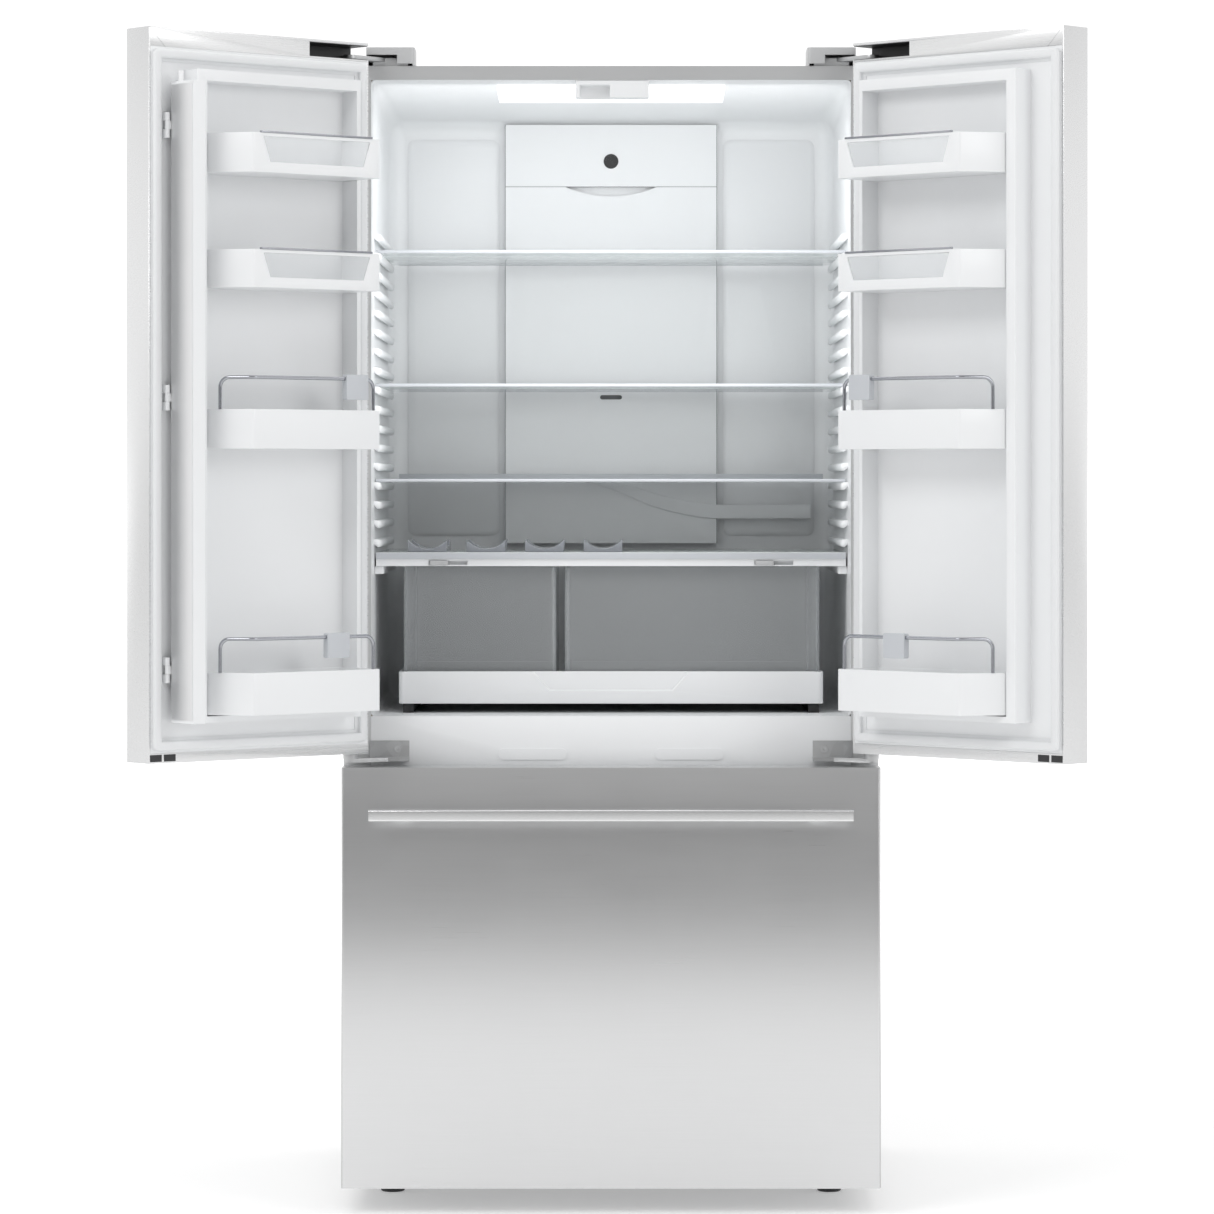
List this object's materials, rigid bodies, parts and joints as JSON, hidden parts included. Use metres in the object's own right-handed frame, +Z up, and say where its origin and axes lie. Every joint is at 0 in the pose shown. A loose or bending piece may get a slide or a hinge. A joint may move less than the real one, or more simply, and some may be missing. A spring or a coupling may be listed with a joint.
{
  "type": "french door refrigerator",
  "caption": "French door refrigerator with bottom freezer drawer, both doors open, glass shelves, crisper, door bins and a flip mullion.",
  "frame": {"origin": "on the floor, on the cabinet's centre line, halfway between the frontmost point of the open doors and the back", "axes": "+Z up, doors face -Y, +X to the right seen from the front"},
  "size_m": [1.3667, 0.9646, 1.715],
  "materials": {
    "steel_skin": "satin",
    "steel_paint": "satin",
    "steel_zinc": "satin",
    "white_liner": "satin",
    "grey_plastic": "satin",
    "clear_plastic": "gloss",
    "shelf_glass": "gloss",
    "seal_rubber": "matte",
    "foam": "matte",
    "handle_metal": "satin",
    "wire_chrome": "polished",
    "dark_plastic": "satin",
    "compressor_black": "satin",
    "coil_metal": "satin"
  },
  "bodies": {
    "cabinet": {"back_panels": "steel_zinc", "base_frame": "steel_zinc", "bottle_cradles": "grey_plastic", "cabinet_foam": "foam", "cabinet_shell": "steel_paint", "compressor": "compressor_black", "condenser": "compressor_black", "divider_front": "white_liner", "door_hinges": "steel_zinc", "drawer_rails": "dark_plastic", "duct_cover": "white_liner", "evaporator": "coil_metal", "freezer_liner": "white_liner", "fridge_liner": "white_liner", "hinge_covers": "grey_plastic", "lid_frame": "white_liner", "lid_glass": "shelf_glass", "light_panel": "clear_plastic", "mullion_guide": "white_liner"},
    "evaporator_fan": {"evaporator_fan": "dark_plastic"},
    "condenser_fan": {"condenser_fan": "dark_plastic"},
    "levelling_feet": {"levelling_feet": "dark_plastic"},
    "rear_rollers": {"rear_rollers": "dark_plastic"},
    "shelf_1": {"shelf_1_glass": "shelf_glass", "shelf_1_trims": "grey_plastic"},
    "shelf_2": {"shelf_2_glass": "shelf_glass", "shelf_2_trims": "grey_plastic"},
    "shelf_3": {"shelf_3_glass": "shelf_glass", "shelf_3_trims": "grey_plastic"},
    "humidity_slider_left": {"humidity_slider_left": "grey_plastic"},
    "humidity_slider_right": {"humidity_slider_right": "grey_plastic"},
    "crisper": {"crisper_tray": "white_liner", "crisper_bins": "clear_plastic"},
    "freezer_drawer": {"drawer_skin": "steel_skin", "drawer_foam": "foam", "drawer_liner": "white_liner", "drawer_gasket": "seal_rubber", "drawer_handle": "handle_metal", "drawer_slides": "steel_zinc", "freezer_bin": "white_liner"},
    "freezer_tray": {"freezer_tray": "white_liner"},
    "left_door": {"left_door_skin": "steel_skin", "left_door_foam": "foam", "left_door_liner": "white_liner", "left_door_gasket": "seal_rubber", "left_door_handle": "handle_metal", "left_door_bins": "white_liner", "left_bin_guards": "wire_chrome"},
    "left_clip_upper": {"left_clip_upper": "grey_plastic"},
    "left_clip_lower": {"left_clip_lower": "grey_plastic"},
    "right_door": {"right_door_skin": "steel_skin", "right_door_foam": "foam", "right_door_liner": "white_liner", "right_door_gasket": "seal_rubber", "right_door_handle": "handle_metal", "right_door_bins": "white_liner", "right_bin_guards": "wire_chrome"},
    "right_clip_upper": {"right_clip_upper": "grey_plastic"},
    "right_clip_lower": {"right_clip_lower": "grey_plastic"},
    "flip_mullion": {"flip_mullion": "white_liner"}
  },
  "joints": [
    {"name": "left_door_hinge", "type": "hinge", "parent": "cabinet", "child": "left_door", "pos_m": [-0.383, -0.18435, 1.18], "axis": [0, 0, -1], "range_deg": [-139, 1]},
    {"name": "right_door_hinge", "type": "hinge", "parent": "cabinet", "child": "right_door", "pos_m": [0.383, -0.18435, 1.18], "axis": [0, 0, 1], "range_deg": [-136, 4]},
    {"name": "mullion_flip", "type": "hinge", "parent": "left_door", "child": "flip_mullion", "pos_m": [-0.62693, -0.44409, 1.185], "axis": [0, 0, 1], "range_deg": [-90, 0]},
    {"name": "freezer_drawer_slide", "type": "slide", "parent": "cabinet", "child": "freezer_drawer", "axis": [0, -1, 0], "range_m": [0, 0.36]},
    {"name": "freezer_tray_slide", "type": "slide", "parent": "cabinet", "child": "freezer_tray", "axis": [0, -1, 0], "range_m": [0, 0.18]},
    {"name": "crisper_slide", "type": "slide", "parent": "cabinet", "child": "crisper", "axis": [0, -1, 0], "range_m": [0, 0.28]},
    {"name": "shelf_1_slide", "type": "slide", "parent": "cabinet", "child": "shelf_1", "axis": [0, -1, 0], "range_m": [0, 0.2]},
    {"name": "shelf_2_slide", "type": "slide", "parent": "cabinet", "child": "shelf_2", "axis": [0, -1, 0], "range_m": [0, 0.2]},
    {"name": "shelf_3_slide", "type": "slide", "parent": "cabinet", "child": "shelf_3", "axis": [0, -1, 0], "range_m": [0, 0.2]},
    {"name": "humidity_left", "type": "slide", "parent": "cabinet", "child": "humidity_slider_left", "axis": [1, 0, 0], "range_m": [0, 0.028]},
    {"name": "humidity_right", "type": "slide", "parent": "cabinet", "child": "humidity_slider_right", "axis": [1, 0, 0], "range_m": [0, 0.028]},
    {"name": "left_clip_upper_slide", "type": "slide", "parent": "left_door", "child": "left_clip_upper", "axis": [-0.7547, -0.6561, 0], "range_m": [0, 0.148]},
    {"name": "left_clip_lower_slide", "type": "slide", "parent": "left_door", "child": "left_clip_lower", "axis": [-0.7547, -0.6561, 0], "range_m": [-0.032, 0.114]},
    {"name": "right_clip_upper_slide", "type": "slide", "parent": "right_door", "child": "right_clip_upper", "axis": [0.7193, -0.6947, 0], "range_m": [0, 0.148]},
    {"name": "right_clip_lower_slide", "type": "slide", "parent": "right_door", "child": "right_clip_lower", "axis": [0.7193, -0.6947, 0], "range_m": [-0.063, 0.083]},
    {"name": "evaporator_fan_spin", "type": "hinge", "parent": "cabinet", "child": "evaporator_fan", "pos_m": [0, 0.36265, 0.56], "axis": [0, 1, 0], "continuous": true},
    {"name": "condenser_fan_spin", "type": "hinge", "parent": "cabinet", "child": "condenser_fan", "pos_m": [0.095, 0.35465, 0.15], "axis": [1, 0, 0], "continuous": true},
    {"name": "roller_spin", "type": "hinge", "parent": "cabinet", "child": "rear_rollers", "pos_m": [0, 0.42765, 0.019], "axis": [1, 0, 0], "continuous": true},
    {"name": "feet_screw", "type": "slide", "parent": "cabinet", "child": "levelling_feet", "axis": [0, 0, -1], "range_m": [0, 0.015]}
  ],
  "couplings": [
    {"joint": "freezer_tray_slide", "follows": "freezer_drawer_slide", "ratio": 0.5}
  ]
}
